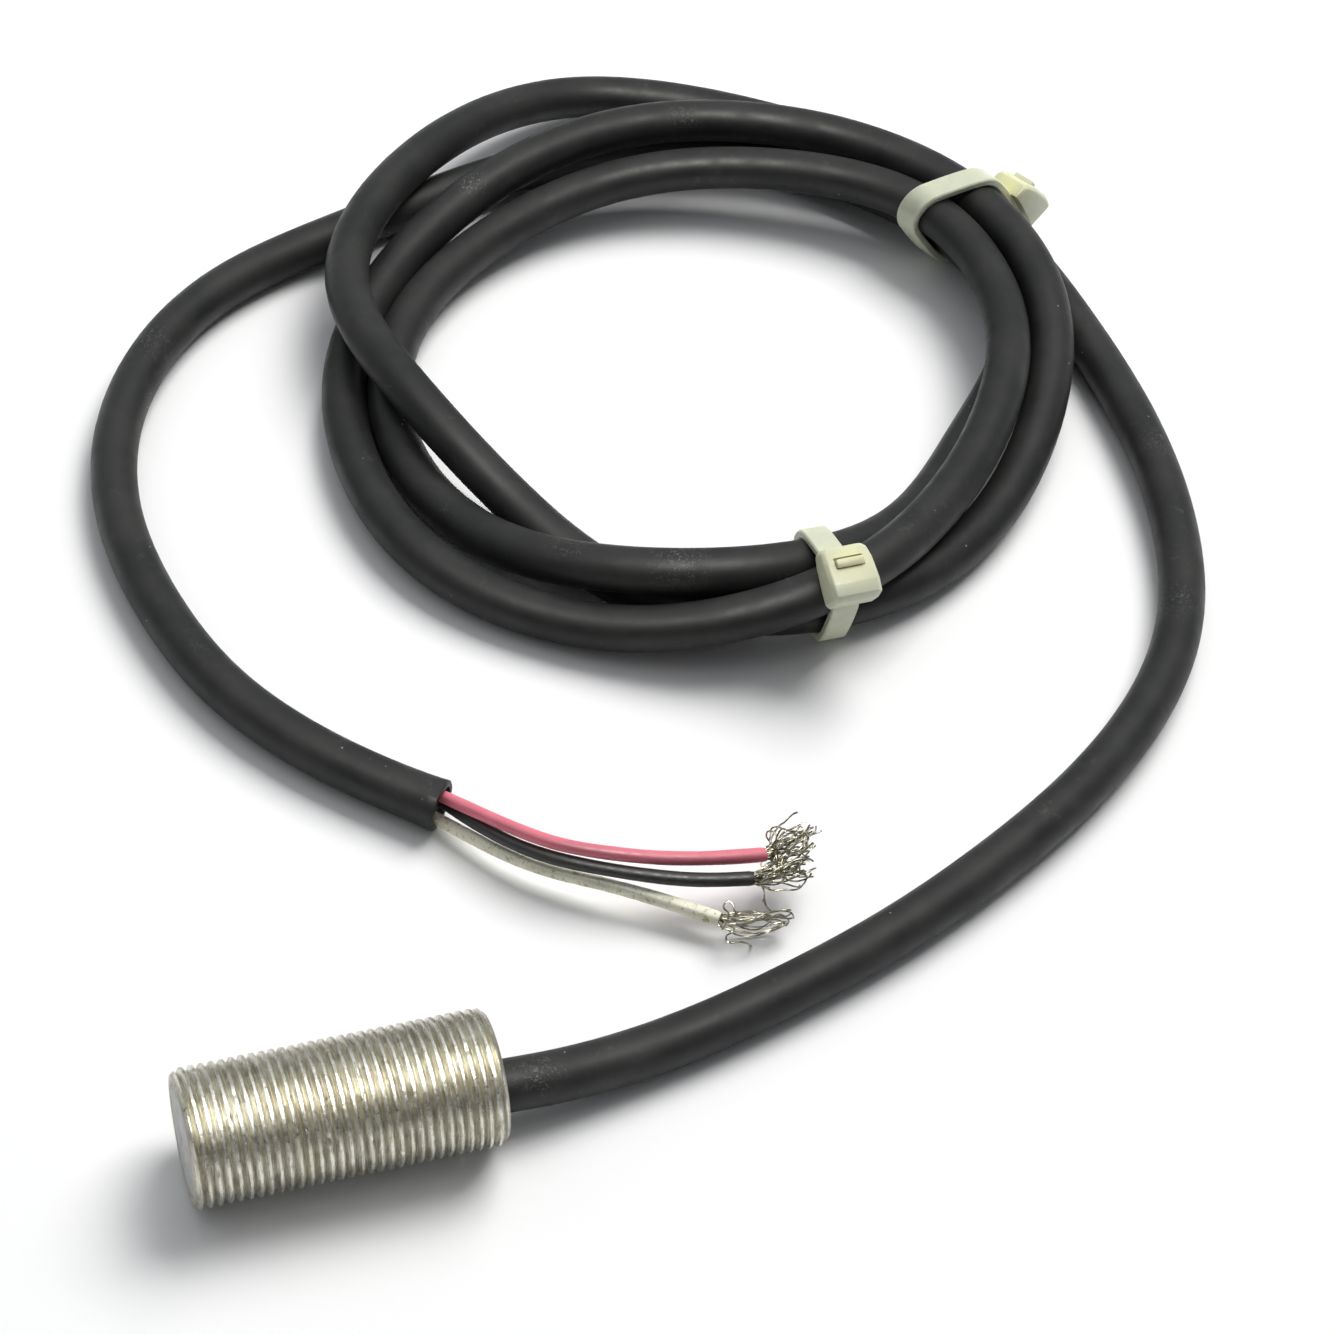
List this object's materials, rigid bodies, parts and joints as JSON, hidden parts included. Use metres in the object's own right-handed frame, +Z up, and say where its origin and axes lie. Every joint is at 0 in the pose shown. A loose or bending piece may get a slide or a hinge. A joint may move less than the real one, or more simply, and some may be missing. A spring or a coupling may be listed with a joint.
{
  "type": "proximity sensor",
  "caption": "Short threaded metal barrel sensor with a plastic sensing face and a black cable wound into a coil held by nylon ties, its cores bared.",
  "frame": {"origin": "on the surface the sensor lies on, under the middle of the barrel", "axes": "+X along the barrel from the sensing face to the cable exit, +Z up"},
  "size_m": [0.1385, 0.168, 0.014],
  "materials": {
    "nickel_brass": "nickel-plated brass, worn satin",
    "cap_plastic": "matte",
    "ferrite": "matt sintered ferrite",
    "bobbin_plastic": "matte",
    "winding_copper": "enamelled copper wire",
    "shield_copper": "satin copper",
    "board_laminate": "solder resist, satin",
    "chip_plastic": "matte moulded",
    "diode_glass": "opaque red glass",
    "capacitor_ceramic": "matt sintered",
    "resistor_ceramic": "glazed top",
    "solder": "bright tin fillet",
    "wire_red": "semi-matt insulation",
    "wire_black": "semi-matt insulation",
    "wire_white": "semi-matt insulation",
    "potting_resin": "cast resin",
    "bush_plastic": "matte",
    "cable_jacket": "matte extruded, scuffed",
    "tinned_strands": "tinned copper, dull",
    "nylon_natural": "natural nylon, satin"
  },
  "bodies": {
    "root": {"barrel": "nickel_brass", "sensing_cap": "cap_plastic", "ferrite_core": "ferrite", "coil_bobbin": "bobbin_plastic", "coil_winding": "winding_copper", "shield_ring": "shield_copper", "coil_leads": "winding_copper", "circuit_board": "board_laminate", "oscillator_chip": "chip_plastic", "output_transistor": "chip_plastic", "protection_diode": "diode_glass", "capacitors": "capacitor_ceramic", "resistors": "resistor_ceramic", "solder_joints": "solder", "inner_wire_red": "wire_red", "inner_wire_black": "wire_black", "inner_wire_white": "wire_white", "potting_resin": "potting_resin", "rear_bush": "bush_plastic", "cable_lead": "cable_jacket", "cable_loop": "cable_jacket", "cable_coil": "cable_jacket", "cable_tail": "cable_jacket", "conductor_red": "wire_red", "conductor_black": "wire_black", "conductor_white": "wire_white", "strands_red": "tinned_strands", "strands_black": "tinned_strands", "strands_white": "tinned_strands", "tie_top": "nylon_natural", "tie_front": "nylon_natural"}
  },
  "joints": []
}
